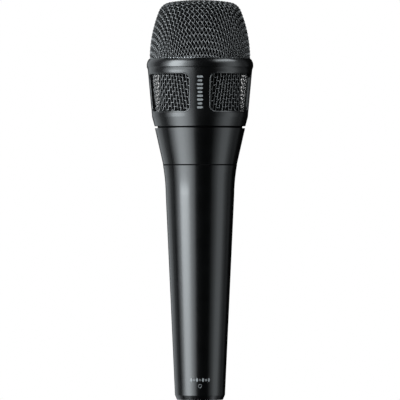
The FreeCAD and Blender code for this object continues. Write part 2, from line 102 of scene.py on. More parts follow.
# The O-ring's place and section, as shares of its groove's height, and those of the thin near-black ring
# in the handle's seam, which is painted shade
O_RING_DEPTH, O_RING_WIDTH, O_RING_HEIGHT = 0.77, 0.42, 0.8
SEAM_SHADE_DEPTH, SEAM_SHADE_WIDTH, SEAM_SHADE_HEIGHT = 0.12 * MM, 0.30 * MM, 0.78 * MM
SECTION_POINTS = 16

# The soft rings, which are cut in slices
COIL_THICKNESS = 0.5 * MM
SLICES, SLICE_STEPS = 12, 8
MOUNT_INNER_RADIUS = 12.050 * MM
MOUNT_HUB, MOUNT_RIM, MOUNT_WEB = 1.75 * MM, 1.6 * MM, 1.6 * MM
FILM_FLAT, FILM_RIM, FILM_THICKNESS, SURROUND_HEIGHT = 0.25 * MM, 0.85 * MM, 0.12 * MM, 0.64 * MM

# The printed marks
BARS_LOW, BARS_HIGH = 138.6 * MM, 155.0 * MM
TAIL_RADIUS = 14.0 * MM
DASHES_Z, DASH_STEP, DASH_UNIT = 9.8 * MM, 1.62 * MM, 0.82 * MM
RING_Z, RING_REACH, RING_BARS = 6.9 * MM, 0.85 * MM, 20
INK_DEPTH = 0.05 * MM

DOME_LOW, DOME_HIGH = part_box("dome_mesh")
SLEEVE_LOW, SLEEVE_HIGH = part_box("window_mesh")
CAGE_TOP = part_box("grille_cage")[1].z


# Materials


class Signal:
    """A value inside a material. Sums and products of it add their own nodes."""

    def __init__(self, finish, socket):
        self.finish = finish
        self.socket = socket

    def math(self, operation, *values):
        return self.finish.node("ShaderNodeMath", {"operation": operation}, values)

    def __add__(self, other):
        return self.math("ADD", self, other)

    def __radd__(self, other):
        return self.math("ADD", other, self)

    def __sub__(self, other):
        return self.math("SUBTRACT", self, other)

    def __rsub__(self, other):
        return self.math("SUBTRACT", other, self)

    def __mul__(self, other):
        return self.math("MULTIPLY", self, other)

    def __rmul__(self, other):
        return self.math("MULTIPLY", other, self)

    def __pow__(self, other):
        return self.math("POWER", self, other)

    def sine(self):
        return self.math("SINE", self)


class Finish:
    """A material under construction, with its node tree."""

    def __init__(self, name):
        self.material = bpy.data.materials.new(name)
        self.material.use_nodes = True
        self.tree = self.material.node_tree
        self.tree.nodes.clear()

    def node(self, kind, settings=None, inputs=(), output=0):
        """Adds a node. Its settings are set first, then its inputs, by name or in their order."""
        made = self.tree.nodes.new(kind)
        for name, value in (settings or {}).items():
            if name == "stops":
                for index, (position, colour) in enumerate(value):
                    ends = made.color_ramp.elements
                    stop = ends[index] if index < 2 else ends.new(position)
                    stop.position = position
                    stop.color = colour
            else:
                setattr(made, name, value)
        pairs = inputs.items() if isinstance(inputs, dict) else enumerate(inputs)
        for key, value in pairs:
            if isinstance(value, Signal):
                self.tree.links.new(value.socket, made.inputs[key])
            else:
                made.inputs[key].default_value = value
        return Signal(self, made.outputs[output]) if made.outputs else None

    def place(self):
        return self.node("ShaderNodeTexCoord", output="Object")

    def noise(self, size, detail=3.0, stretch=(1, 1, 1), rough=0.55):
        """Soft random grain whose lumps are about that size, in metres."""
        spot = self.node("ShaderNodeMapping", inputs={"Vector": self.place(), "Scale": stretch})
        values = {"Vector": spot, "Scale": 1 / size, "Detail": detail, "Roughness": rough}
        return self.node("ShaderNodeTexNoise", inputs=values)

    def cells(self, size, feature="F1"):
        """Distance to the nearest of many random points, about that far apart."""
        values = {"Vector": self.place(), "Scale": 1 / size}
        return self.node("ShaderNodeTexVoronoi", {"feature": feature}, values)

    def axes(self):
        """X, Y and Z of the point that is shaded."""
        split = self.tree.nodes.new("ShaderNodeSeparateXYZ")
        self.tree.links.new(self.place().socket, split.inputs[0])
        return [Signal(self, out) for out in split.outputs]

    def radius(self):
        """Distance from the microphone's own axis."""
        x, y = self.axes()[:2]
        return (x * x + y * y) ** 0.5

    def turning(self, size):
        """Fine rings left by a lathe, about that far apart."""
        z = self.axes()[2]
        spot = self.node("ShaderNodeCombineXYZ", inputs=[self.radius(), 0.0, z])
        values = {"Vector": spot, "Scale": 1 / size, "Detail": 2.0}
        return self.node("ShaderNodeTexNoise", inputs=values)

    def ramp(self, value, low, high):
        """0 below low, 1 above high, and smooth between."""
        settings = {"interpolation_type": "SMOOTHSTEP"}
        return self.node("ShaderNodeMapRange", settings, {"Value": value, 1: low, 2: high})

    def mix(self, share, first, second):
        """A colour between two colours."""
        colours = [c if isinstance(c, Signal) else (*c, 1.0) for c in (first, second)]
        settings = {"data_type": "RGBA"}
        return self.node("ShaderNodeMix", settings, {0: share, 6: colours[0], 7: colours[1]}, 2)

    def bump(self, height, depth, strength=1.0):
        values = {"Height": height, "Distance": depth, "Strength": strength}
        return self.node("ShaderNodeBump", inputs=values)

    def surface(self, **inputs):
        """The shader. Input names have underscores in place of spaces."""
        values = {}
        for name, value in inputs.items():
            values[name.replace("_", " ")] = value
        shader = self.node("ShaderNodeBsdfPrincipled", inputs=values)
        self.node("ShaderNodeOutputMaterial", inputs={"Surface": shader})
        return self.material


def shade(colour, factor):
    """A lighter or darker form of a colour."""
    return tuple(min(1.0, part * factor) for part in colour)


def satin_paint(name, colour, roughness, peel):
    """Satin spray paint on a casting: faint orange peel, fine grit and uneven gloss."""
    f = Finish(name)
    lumps = f.noise(peel, 2.0)
    grit = f.noise(0.12 * MM, 2.0)
    cloud = f.noise(9 * MM, 3.0)
    return f.surface(
        Base_Color=f.mix(f.ramp(grit + cloud * 0.5, 0.62, 0.92), shade(colour, 0.8), shade(colour, 1.5)),
        Roughness=roughness + (cloud - 0.5) * 0.07 + (grit - 0.5) * 0.10,
        Normal=f.bump(lumps * 0.7 + grit * 0.3, 0.010 * MM, 0.8),
        IOR=1.52,
    )


def wire_paint(name, colour):
    """Baked paint on woven steel wire, a little thinner and brighter in blotches."""
    f = Finish(name)
    blotch = f.noise(2.6 * MM, 3.0)
    grit = f.noise(0.09 * MM, 2.0)
    return f.surface(
        Base_Color=f.mix(f.ramp(blotch, 0.38, 0.66), shade(colour, 0.7), shade(colour, 1.7)),
        Roughness=0.18 + (blotch - 0.5) * 0.12,
        Metallic=0.12 + (blotch - 0.5) * 0.2,
        Normal=f.bump(grit, 0.012 * MM, 0.6),
        Specular_IOR_Level=1.0,
        Coat_Weight=0.25,
        Coat_Roughness=0.12,
    )


def open_foam(name, colour):
    """Open-celled foam: pores with thin walls, coloured darker down in the pores as painted shade and
    lighter on the walls.
    """
    f = Finish(name)
    pores = f.cells(0.75 * MM)
    fine = f.cells(0.32 * MM)
    depth = pores * 0.7 + fine * 0.3
    return f.surface(
        # colour follows the pores' depth: painted shade in the hollows, lighter walls
        Base_Color=f.mix(f.ramp(depth, 0.15, 0.6), shade(colour, 0.35), shade(colour, 1.5)),
        Roughness=0.92 + (fine - 0.5) * 0.1,
        Normal=f.bump(depth, 0.22 * MM, 0.9),
        Specular_IOR_Level=0.12,
    )


def soft_rubber(name, colour, gloss=0.2):
    """Moulded rubber with a dull bloom."""
    f = Finish(name)
    skin = f.noise(0.3 * MM, 3.0)
    bloom = f.noise(5 * MM, 3.0)
    return f.surface(
        Base_Color=f.mix(bloom, shade(colour, 0.8), shade(colour, 1.35)),
        Roughness=0.56 + (bloom - 0.5) * 0.15,
        Normal=f.bump(skin, 0.012 * MM, 0.6),
        Specular_IOR_Level=gloss,
    )


def turned_metal(name, colour, roughness, step=0.09 * MM):
    """Metal off the lathe, with fine rings and a few dull patches."""
    f = Finish(name)
    rings = f.turning(step)
    patches = f.noise(4 * MM, 3.0)
    return f.surface(
        Base_Color=f.mix(patches, shade(colour, 0.86), shade(colour, 1.06)),
        Metallic=1.0,
        Roughness=roughness + (rings - 0.5) * 0.18 + (patches - 0.5) * 0.1,
        Normal=f.bump(rings, 0.004 * MM, 0.7),
    )


def plated_metal(name, colour, roughness):
    """Plating on small contacts, with hairline scratches along the length."""
    f = Finish(name)
    hairs = f.noise(0.10 * MM, 2.0, (1, 1, 0.04))
    stain = f.noise(1.8 * MM, 3.0)
    return f.surface(
        Base_Color=f.mix(f.ramp(stain, 0.35, 0.75), shade(colour, 1.0), shade(colour, 0.72)),
        Metallic=1.0,
        Roughness=roughness + (hairs - 0.5) * 0.2 + (stain - 0.5) * 0.12,
        Normal=f.bump(hairs, 0.003 * MM, 0.6),
    )


def moulded_plastic(name, colour, roughness):
    """Filled plastic from a spark-textured mould."""
    f = Finish(name)
    texture = f.cells(0.16 * MM, "SMOOTH_F1")
    flow = f.noise(3.5 * MM, 4.0, (1, 1, 0.4))
    return f.surface(
        Base_Color=f.mix(flow, shade(colour, 0.8), shade(colour, 1.25)),
        Roughness=roughness + (flow - 0.5) * 0.12,
        Normal=f.bump(texture, 0.010 * MM, 0.5),
        IOR=1.49,
    )


def wire_insulation(name, colour):
    """Extruded plastic, slightly wavy and a little dirty."""
    f = Finish(name)
    waves = f.noise(0.8 * MM, 2.0, (1, 1, 0.3))
    dirt = f.noise(3 * MM, 3.0)
    return f.surface(
        Base_Color=f.mix(f.ramp(dirt, 0.45, 0.8), colour, shade(colour, 0.7)),
        Roughness=0.42 + (dirt - 0.5) * 0.15,
        Normal=f.bump(waves, 0.02 * MM, 0.5),
    )


def pressed_felt(name, colour):
    """Matted fibres that cross in two directions."""
    f = Finish(name)
    along = f.noise(0.22 * MM, 4.0, (1, 0.16, 1))
    across = f.noise(0.22 * MM, 4.0, (0.16, 1, 1))
    fibres = along * 0.5 + across * 0.5
    return f.surface(
        Base_Color=f.mix(f.ramp(fibres, 0.38, 0.62), shade(colour, 0.55), shade(colour, 1.5)),
        Roughness=0.9 + (fibres - 0.5) * 0.15,
        Normal=f.bump(fibres, 0.12 * MM, 0.8),
        Sheen_Weight=0.25,
    )


def laminate_board(name, colour):
    """Paper laminate, with the weave of its fibres showing through the lacquer."""
    f = Finish(name)
    x, y = f.axes()[:2]
    turns = math.tau / (0.5 * MM)
    weave = (x * turns).sine() * (y * turns).sine()
    stain = f.noise(2.5 * MM, 3.0)
    return f.surface(
        Base_Color=f.mix(f.ramp(weave * 0.25 + stain, 0.3, 0.8), shade(colour, 0.75), shade(colour, 1.2)),
        Roughness=0.36 + (stain - 0.5) * 0.15,
        Normal=f.bump(weave, 0.006 * MM, 0.5),
    )


def sintered_magnet(name, colour):
    """Pressed and sintered grains under a thin haze."""
    f = Finish(name)
    grains = f.cells(0.10 * MM)
    haze = f.noise(2.4 * MM, 3.0)
    return f.surface(
        Base_Color=f.mix(f.ramp(grains + haze * 0.4, 0.3, 0.9), shade(colour, 0.7), shade(colour, 1.3)),
        Metallic=0.75 + (haze - 0.5) * 0.2,
        Roughness=0.4 + (grains - 0.4) * 0.15,
        Normal=f.bump(grains, 0.008 * MM, 0.6),
    )


def clear_film(name, colour):
    """Thin polyester film, slightly hazy where it was drawn."""
    f = Finish(name)
    haze = f.noise(1.5 * MM, 3.0)
    draw = f.turning(0.4 * MM)
    return f.surface(
        Base_Color=f.mix(haze, shade(colour, 0.85), shade(colour, 1.1)),
        Roughness=0.2 + (haze - 0.5) * 0.12,
        Alpha=0.55 + (haze - 0.5) * 0.15,
        Normal=f.bump(draw, 0.006 * MM, 0.5),
    )


def printed_ink(name, colour):
    """Pad-printed ink: a few pinholes, and thinner in worn patches."""
    f = Finish(name)
    speck = f.noise(0.14 * MM, 3.0)
    wear = f.noise(1.1 * MM, 3.0)
    return f.surface(
        Base_Color=f.mix(f.ramp(speck * 0.6 + wear * 0.4, 0.34, 0.52), shade(colour, 0.55), colour),
        Roughness=0.5 + (speck - 0.5) * 0.2,
        Normal=f.bump(speck, 0.006 * MM, 0.5),
    )


def make_finishes(colours):
    """One finish for each slot of the record, and the ink, by name."""
    return {
        "body_paint": satin_paint("body_paint", colours.body, 0.21, 0.55 * MM),
        "cage_paint": satin_paint("cage_paint", colours.cage, 0.24, 0.40 * MM),
        "mesh_paint": wire_paint("mesh_paint", colours.mesh),
        "foam": open_foam("foam", colours.foam),
        "ring_metal": turned_metal("ring_metal", (0.30, 0.31, 0.32), 0.42),
        "rubber": soft_rubber("rubber", (0.004, 0.004, 0.0042)),
        # near black and almost unreflecting: the O-ring's own black deepened into painted shade in its
        # groove, and painted shade for the ring in the handle's seam
        "rubber_painted_shade": soft_rubber("rubber_painted_shade", (0.0012, 0.0012, 0.0013), 0.02),
        "socket_metal": turned_metal("socket_metal", (0.56, 0.55, 0.52), 0.33),
        "socket_plastic": moulded_plastic("socket_plastic", (0.022, 0.022, 0.024), 0.42),
        "pin_metal": plated_metal("pin_metal", (0.82, 0.80, 0.74), 0.22),
        "tinned_brass": plated_metal("tinned_brass", (0.72, 0.70, 0.66), 0.34),
        "wire_red": wire_insulation("wire_red", (0.45, 0.022, 0.016)),
        "wire_white": wire_insulation("wire_white", (0.72, 0.70, 0.64)),
        "cartridge_plastic": moulded_plastic("cartridge_plastic", (0.024, 0.024, 0.026), 0.46),
        "cap_metal": turned_metal("cap_metal", (0.34, 0.34, 0.35), 0.38, 0.14 * MM),
        "board": laminate_board("board", (0.28, 0.15, 0.055)),
        "felt": pressed_felt("felt", (0.10, 0.10, 0.105)),
        "steel": turned_metal("steel", (0.52, 0.52, 0.53), 0.36),
        "magnet": sintered_magnet("magnet", (0.26, 0.26, 0.27)),
        "copper": turned_metal("copper", (0.80, 0.36, 0.17), 0.3),
        "film": clear_film("film", (0.72, 0.68, 0.58)),
        "ring_plastic": moulded_plastic("ring_plastic", (0.55, 0.53, 0.48), 0.45),
        "ink": printed_ink("ink", colours.ink),
    }


FINISHES = {}


# Shapes


def object_from(name, mesh, finish, sharp):
    """Puts a mesh into the scene, smooth but for edges past the angle sharp, if there is one."""
    mesh.name = name
    for face in mesh.polygons:
        face.use_smooth = True
    if sharp:
        mesh.set_sharp_from_angle(angle=sharp)
    piece = bpy.data.objects.new(name, mesh)
    bpy.context.scene.collection.objects.link(piece)
    mesh.materials.clear()
    mesh.materials.append(FINISHES[finish])
    return piece


def piece_from(name, mesh, body, finish, replaces=(), sharp=SHARP):
    """Makes a finished mesh a piece that rides on a body."""
    piece = object_from(name, mesh, finish, sharp)
    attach(piece, body)
    if replaces:
        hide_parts(*replaces)
    return piece


def mesh_from(bm):
    """The mesh of a bmesh, which is freed."""
    mesh = bpy.data.meshes.new("mesh")
    bm.to_mesh(mesh)
    bm.free()
    return mesh


def spun(outline, steps, start=0.0, angle=math.tau):
    """A closed bmesh turned about the Z axis from (radius, height) points, from the azimuth start."""
    bm = bmesh.new()
    x, y = math.cos(start), math.sin(start)
    verts = [bm.verts.new((radius * x, radius * y, height)) for radius, height in outline]
    edges = [bm.edges.new(pair) for pair in zip(verts, verts[1:] + verts[:1])]
    whole = angle == math.tau
    bmesh.ops.spin(
        bm,
        geom=verts + edges,
        cent=(0, 0, 0),
        axis=(0, 0, 1),
        angle=angle,
        steps=steps,
        use_merge=whole,
    )
    bmesh.ops.remove_doubles(bm, verts=bm.verts, dist=1e-7)
    if not whole:
        bmesh.ops.holes_fill(bm, edges=bm.edges, sides=0)
    bmesh.ops.recalc_face_normals(bm, faces=bm.faces)
    return bm


def wires_mesh(name, lines, radius, cyclic=False):
    """Round wires along smooth lines, each through its own list of points."""
    curve = bpy.data.curves.new(name, "CURVE")
    curve.dimensions = "3D"
    curve.bevel_depth = radius
    curve.bevel_resolution = WIRE_ROUNDNESS
    curve.resolution_u = WIRE_STEPS
    curve.use_fill_caps = not cyclic
    for line in lines:
        spline = curve.splines.new("NURBS")
        spline.points.add(len(line) - 1)
        for point, spot in zip(spline.points, line):
            point.co = (*spot, 1.0)
        spline.order_u = 3
        spline.use_endpoint_u = not cyclic
        spline.use_cyclic_u = cyclic
    holder = bpy.data.objects.new(name, curve)
    bpy.context.scene.collection.objects.link(holder)
    depsgraph = bpy.context.evaluated_depsgraph_get()
    mesh = bpy.data.meshes.new_from_object(holder.evaluated_get(depsgraph))
    bpy.data.objects.remove(holder)
    bpy.data.curves.remove(curve)
    return mesh


def wobble(point, size, amount):
    """A point moved a little by smooth noise, whose pattern changes each time Blender starts."""
    return point + noise.noise_vector(point / size) * amount


class DomeLine:
    """The dome's outline at some depth below its outside, by distance from its top."""

    def __init__(self, depth):
        foot_radius, foot = DOME_HIGH.x, CAGE_TOP
        side = Vector((foot_radius - SIDE_RADIUS, foot))
        crown = Vector((0.0, DOME_HIGH.z - CROWN_RADIUS))
        side_reach = SIDE_RADIUS - CORNER_RADIUS
        crown_reach = CROWN_RADIUS - CORNER_RADIUS
        apart = (side - crown).length
        along = (crown_reach**2 - side_reach**2 + apart**2) / (2 * apart)
        towards = (side - crown) / apart
        across = Vector((towards.y, -towards.x))
        corner = crown + towards * along + across * math.sqrt(crown_reach**2 - along**2)
        high = math.atan2(corner.y - crown.y, corner.x - crown.x)
        low = math.atan2(corner.y - side.y, corner.x - side.x)
        self.arcs = [
            (crown, CROWN_RADIUS - depth, math.pi / 2, high),
            (corner, CORNER_RADIUS - depth, high, low),
            (side, SIDE_RADIUS - depth, low, 0.0),
        ]
        self.foot = Vector((foot_radius - depth, foot))

    def at(self, distance):
        """(radius, height) and the outward direction, at a distance along the line."""
        for centre, radius, start, end in self.arcs:
            length = radius * (start - end)
            if distance <= length:
                angle = start - distance / radius
                out = Vector((math.cos(angle), math.sin(angle)))
                return centre + out * radius, out
            distance -= length
        return self.foot - Vector((0.0, distance)), Vector((1.0, 0.0))

    def length_to(self, height):
        """Distance from the top to a height on the straight skirt."""
        arcs = sum(radius * (start - end) for centre, radius, start, end in self.arcs)
        return arcs + self.foot.y - height


class MIC_PG_sizes(bpy.types.PropertyGroup):
    """Sizes of the pieces that this file makes"""

    mesh_pitch: FloatProperty(
        name="Mesh pitch",
        description="Distance between neighbouring wires of the woven grille",
        default=1.82 * MM,
        min=0.8 * MM,
        max=4 * MM,
        precision=5,
        unit="LENGTH",
        subtype="DISTANCE",
    )
    wire_radius: FloatProperty(
        name="Wire radius",
        description="Radius of one wire of the woven grille",
        default=0.205 * MM,
        min=0.1 * MM,
        max=0.21 * MM,
        precision=5,
        unit="LENGTH",
        subtype="DISTANCE",
    )
    dome_draw: FloatProperty(
        name="Dome draw",
        description="How much longer the mesh gets on the bias where the dome is drawn deepest",
        default=0.20,
        min=0.0,
        max=0.4,
        subtype="FACTOR",
    )
    sleeve_pitch: FloatProperty(
        name="Sleeve pitch",
        description="From one wire of the window sleeve to the next",
        default=1.62 * MM,
        min=0.8 * MM,
        max=4 * MM,
        precision=4,
        unit="LENGTH",
        subtype="DISTANCE",
    )
    sleeve_lean: FloatProperty(
        name="Sleeve lean",
        description="How far an upright wire near a post leans over its height",
        default=math.radians(7.0),
        min=0.0,
        max=math.radians(20.0),
        subtype="ANGLE",
        unit="ROTATION",
    )
    sleeve_dip: FloatProperty(
        name="Sleeve dip",
        description="How far the level wires hang down behind the posts",
        default=1.6 * MM,
        min=0.0,
        max=6 * MM,
        precision=4,
        unit="LENGTH",
        subtype="DISTANCE",
    )
    wander: FloatProperty(
        name="Wander",
        description="How far a wire strays from its place in the weave",
        default=0.07 * MM,
        min=0.0,
        max=0.3 * MM,
        precision=5,
        unit="LENGTH",
        subtype="DISTANCE",
    )
    rim_offset: FloatProperty(
        name="Rim offset",
        description="From a window's edge out to the middle of its bead",
        default=0.5 * MM,
        min=0.3 * MM,
        max=1.0 * MM,
        precision=4,
        unit="LENGTH",
        subtype="DISTANCE",
    )
    rim_radius: FloatProperty(
        name="Rim radius",
        description="Radius of the bead round a window",
        default=0.26 * MM,
        min=0.1 * MM,
        max=0.5 * MM,
        precision=4,
        unit="LENGTH",
        subtype="DISTANCE",
    )
    coil_wire: FloatProperty(
        name="Coil wire radius",
        description="Radius of the voice coil's wire",
        default=0.06 * MM,
        min=0.03 * MM,
        max=0.2 * MM,
        precision=4,
        unit="LENGTH",
        subtype="DISTANCE",
    )
    bar_count: IntProperty(
        name="Bars",
        description="Printed level bars on the front post of the grille",
        default=9,
        min=1,
        max=16,
    )
    bar_width: FloatProperty(
        name="Bar width",
        description="Length of the longest printed bar",
        default=2.9 * MM,
        min=1 * MM,
        max=6 * MM,
        precision=4,
        unit="LENGTH",
        subtype="DISTANCE",
    )
    ink_height: FloatProperty(
        name="Ink height",
        description="How far printed ink stands off the paint",
        default=0.03 * MM,
        min=0.01 * MM,
        max=0.1 * MM,
        precision=6,
        unit="LENGTH",
        subtype="DISTANCE",
    )


def colour_property(name, description, default):
    return FloatVectorProperty(
        name=name, description=description, default=default, size=3, min=0.0, max=1.0, subtype="COLOR"
    )


class MIC_PG_colours(bpy.types.PropertyGroup):
    """Colours of the pieces that show most"""

    body: colour_property("Handle", "Paint on the handle and collar", (0.0004, 0.00045, 0.0005))
    cage: colour_property("Cage", "Paint on the head's cage", (0.0006, 0.00065, 0.0007))
    mesh: colour_property("Mesh", "Paint on the woven wire", (0.005, 0.0052, 0.0054))
    foam: colour_property("Foam", "Foam behind the mesh", (0.0012, 0.0012, 0.0013))
    ink: colour_property("Ink", "Printed marks", (0.12, 0.125, 0.127))


class MIC_OT_finishes(bpy.types.Operator):
    """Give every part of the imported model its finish"""

    bl_idname = "mic.finishes"
    bl_label = "Finish the parts"

    def execute(self, context):
        FINISHES.update(make_finishes(context.scene.mic_colours))
        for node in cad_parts.values():
            for place in node.material_slots:
                place.material = FINISHES[place.material.name.split(".")[0]]
        return {"FINISHED"}


class Net:
    """A flat square net pressed over a form, wire by wire, out to its reach."""

    def __init__(self, sizes, reach):
        self.pitch = sizes.mesh_pitch
        self.swing = 2 * sizes.wire_radius  # a crest of the smooth line stands at half of this
        self.wander = sizes.wander
        self.draw = sizes.dome_draw
        self.reach = reach

    def stretched(self, flat):
        """Distance down the form for a point of the flat net. The bias gives more than the wires."""
        span = flat.length
        bias = math.cos(2 * math.atan2(flat.y, flat.x)) ** 2
        return span * (1 + self.draw * bias * min(1.0, span / self.reach) ** 1.5)

    def wires(self, place, turned):
        """Lines of one set of wires, or of the set that crosses it when turned is true.

        place gives the radius, height and outward direction at a distance, or None off the form.
        """
        count = int(self.reach / self.pitch) + 1
        lines = []
        for row in range(-count, count + 1):
            line = []
            for step in range(-count, count + 2):
                u, v = (row + 0.5) * self.pitch, (step + 0.5) * self.pitch
                if turned:
                    u, v = v, u
                flat = Vector((u - v, u + v, 0.0)) / math.sqrt(2)
                flat = wobble(flat, WANDER_SIZE, self.wander)
                spot = place(self.stretched(flat))
                if spot is None:
                    if len(line) > 3:
                        lines.append(line)
                    line = []
                    continue
                middle, out = spot
                over = self.swing if (row + step + turned) % 2 else -self.swing
                radius, height = middle + out * over
                angle = math.atan2(flat.y, flat.x)
                line.append(Vector((radius * math.cos(angle), radius * math.sin(angle), height)))
            if len(line) > 3:
                lines.append(line)
        return lines


class MIC_OT_dome(bpy.types.Operator):
    """Weave the wire dome, one set of wires across the other"""

    bl_idname = "mic.dome"
    bl_label = "Weave the dome"

    def execute(self, context):
        sizes = context.scene.mic_sizes
        middle = DomeLine(MESH_THICKNESS / 2)
        reach = middle.length_to(DOME_LOW.z + sizes.wire_radius)
        net = Net(sizes, reach)

        def place(distance):
            return middle.at(distance) if distance <= reach else None

        for name, turned in (("dome_warp_wires", False), ("dome_weft_wires", True)):
            mesh = wires_mesh(name, net.wires(place, turned), sizes.wire_radius)
            piece_from(name, mesh, "grille", "mesh_paint", ["dome_mesh"], None)
        return {"FINISHED"}


class MIC_OT_sleeve(bpy.types.Operator):
    """Weave the mesh sleeve that shows through the windows"""

    bl_idname = "mic.sleeve"
    bl_label = "Weave the window sleeve"

    def execute(self, context):
        sizes = context.scene.mic_sizes
        low, high = SLEEVE_LOW.z + sizes.wire_radius, SLEEVE_HIGH.z - sizes.wire_radius
        foot = Vector((SLEEVE_FOOT_RADIUS - MESH_THICKNESS / 2, low))
        top = Vector((SLEEVE_HIGH.x - MESH_THICKNESS / 2, high))
        out = Vector((top.y - foot.y, foot.x - top.x)).normalized()
        around = 2 * round(math.pi * (foot.x + top.x) / 2 / sizes.sleeve_pitch)
        up = round((high - low) / (sizes.sleeve_pitch * LEVEL_SPACING))
        dip = sizes.sleeve_dip / (high - low)

        def crossing(column, row):
            turn = math.tau * column / around
            lean = sizes.sleeve_lean * (row / up - 0.5)
            turn += lean * math.sin(4 * turn)
            share = row / up - dip * (1 + math.cos(4 * turn)) / 2
            side = 1 if (column + row) % 2 else -1
            radius, height = foot.lerp(top, share) + out * 2 * sizes.wire_radius * side
            point = Vector((radius * math.cos(turn), radius * math.sin(turn), height))
            return share, point, out

        uprights, rings = [], []
        for column in range(around):
            spots = [crossing(column, row) for row in range(-1, up + 3)]
            uprights.append([point for share, point, out in spots if -0.001 <= share <= 1.001])
        for row in range(0, up + 3):
            line = []
            for column in range(around + 1):
                share, point, out = crossing(column, row)
                if -0.001 <= share <= 1.001:
                    # the rings pass over where the uprights pass under
                    turn = math.atan2(point.y, point.x)
                    flat = Vector((math.cos(turn), math.sin(turn), 0.0)) * out.x
                    flat.z = out.y
                    side = 1 if (column + row) % 2 else -1
                    line.append(point - flat * 4 * sizes.wire_radius * side)
                else:
                    if len(line) > 3:
                        rings.append(line)
                    line = []
            if len(line) > 3:
                rings.append(line)
        for name, lines in (("sleeve_uprights", uprights), ("sleeve_rings", rings)):
            lines = [[wobble(point, WANDER_SIZE, sizes.wander) for point in line] for line in lines]
            mesh = wires_mesh(name, lines, sizes.wire_radius)
            piece_from(name, mesh, "grille", "mesh_paint", ["window_mesh"], None)
        return {"FINISHED"}


class MIC_OT_foam(bpy.types.Operator):
    """Line the dome and the windows with open-celled foam"""

    bl_idname = "mic.foam"
    bl_label = "Fit the foam"

    def execute(self, context):
        low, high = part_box("dome_foam")
        outer_line = DomeLine(DOME_HIGH.z - high.z)
        inner_line = DomeLine(DOME_HIGH.z - high.z + DOME_FOAM_WALL)
        outer, inner = [], []
        for line, points in ((outer_line, outer), (inner_line, inner)):
            reach = line.length_to(low.z) if low.z < line.foot.y else self.reach(line, low.z)
            for index in range(DOME_FOAM_ROWS + 1):
                points.append(line.at(reach * index / DOME_FOAM_ROWS)[0])
        self.shell("dome_liner", outer, inner, "grille_liner", "dome_foam")

        low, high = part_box("window_foam")
        rows, fall = WINDOW_FOAM_ROWS, low.z - high.z
        outer = [Vector((high.x, high.z + fall * row / rows)) for row in range(rows + 1)]
        inner = [Vector((high.x - WINDOW_FOAM_WALL, point.y)) for point in outer]
        self.shell("window_liner", outer, inner, "grille_sleeve", "window_foam")
        return {"FINISHED"}

    def reach(self, line, height):
        """Distance along the line down to a height on its side arc."""
        low, high = 0.0, line.length_to(line.foot.y)
        for step in range(40):
            middle = (low + high) / 2
            if line.at(middle)[0].y > height:
                low = middle
            else:
                high = middle
        return low

    def shell(self, name, outer, inner, body, node):
        """A soft shell between two outlines, with a lumpy, open skin."""
        bm = spun(outer + inner[::-1], FOAM_STEPS)
        bm.normal_update()
        for vert in bm.verts:
            lump = noise.noise(vert.co / FOAM_LUMP) + 0.5 * noise.noise(vert.co / FOAM_GRAIN)
            vert.co -= vert.normal * (FOAM_SINK + FOAM_RELIEF * lump) * MM
        piece = piece_from(name, mesh_from(bm), body, "foam", [node], None)


def ring_section(radius, height, wide, tall):
    """Rounded outline of a ring's section."""
    outline = []
    for index in range(SECTION_POINTS):
        turn = math.tau * index / SECTION_POINTS
        x = math.copysign(abs(math.cos(turn)) ** 0.6, math.cos(turn)) * wide / 2
        z = math.copysign(abs(math.sin(turn)) ** 0.6, math.sin(turn)) * tall / 2
        outline.append((radius + x, height + z))
    return outline


class MIC_OT_joints(bpy.types.Operator):
    """Seat the rubber ring under the grille, its black deepened as painted shade in the groove, and a
    thin near-black ring in the handle's seam that is painted shade
    """

    bl_idname = "mic.joints"
    bl_label = "Seat the rings"

    def execute(self, context):
        low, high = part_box("grille_o_ring")
        tall = high.z - low.z
        middle = high.x - tall * O_RING_DEPTH
        section = ring_section(middle, (low.z + high.z) / 2, tall * O_RING_WIDTH, tall * O_RING_HEIGHT)
        self.ring("sunk_o_ring", section, ["grille_o_ring"])
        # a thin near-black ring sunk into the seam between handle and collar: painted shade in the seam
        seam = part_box("handle_tube")[1]
        section = ring_section(seam.x - SEAM_SHADE_DEPTH, seam.z, SEAM_SHADE_WIDTH, SEAM_SHADE_HEIGHT)
        self.ring("seam_painted_shade", section, ())
        return {"FINISHED"}

    def ring(self, name, section, replaces):
        mesh = mesh_from(spun(section, RING_STEPS))
        # near-black, dull rubber: the O-ring's own black deepened into painted shade, and the seam ring
        # wholly painted shade
        piece_from(name, mesh, "microphone", "rubber_painted_shade", replaces, None)


class Skin:
    """The outside of a CAD node, for laying shapes on it."""

    def __init__(self, node):
        self.node = node
        self.tree = BVHTree.FromObject(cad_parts[node], bpy.context.evaluated_depsgraph_get())

    def at(self, turn, height, lift):
        """The outermost point at an azimuth and a height, raised by lift."""
        out = Vector((math.cos(turn), math.sin(turn), 0.0))
        place = self.tree.ray_cast(out * 0.1 + Vector((0.0, 0.0, height)), -out)[0]
        if place is None:
            raise RuntimeError("nothing of " + self.node + " to lie on")
        return place + out * lift


class MIC_OT_rims(bpy.types.Operator):
    """Raise a fine bead round each window of the cage"""

    bl_idname = "mic.rims"
    bl_label = "Bead the windows"

    def execute(self, context):
        sizes = context.scene.mic_sizes
        skin = Skin("grille_cage")
        middle = (WINDOW_LOW + WINDOW_HIGH) / 2
        tall = (WINDOW_HIGH - WINDOW_LOW) / 2 + sizes.rim_offset
        wide = WINDOW_HALF_ANGLE * WINDOW_RADIUS + sizes.rim_offset
        corner = WINDOW_CORNER + sizes.rim_offset
        loops = []
        for window in range(4):
            centre = math.pi / 4 + window * math.pi / 2
            loop = []
            for across, height in rounded_rectangle(wide, tall, corner):
                lift = -0.5 * sizes.rim_radius
                loop.append(skin.at(centre + across / WINDOW_RADIUS, middle + height, lift))
            loops.append(loop)
        mesh = wires_mesh("window_rims", loops, sizes.rim_radius, True)
        piece_from("window_rims", mesh, "grille", "cage_paint", (), None)
        return {"FINISHED"}


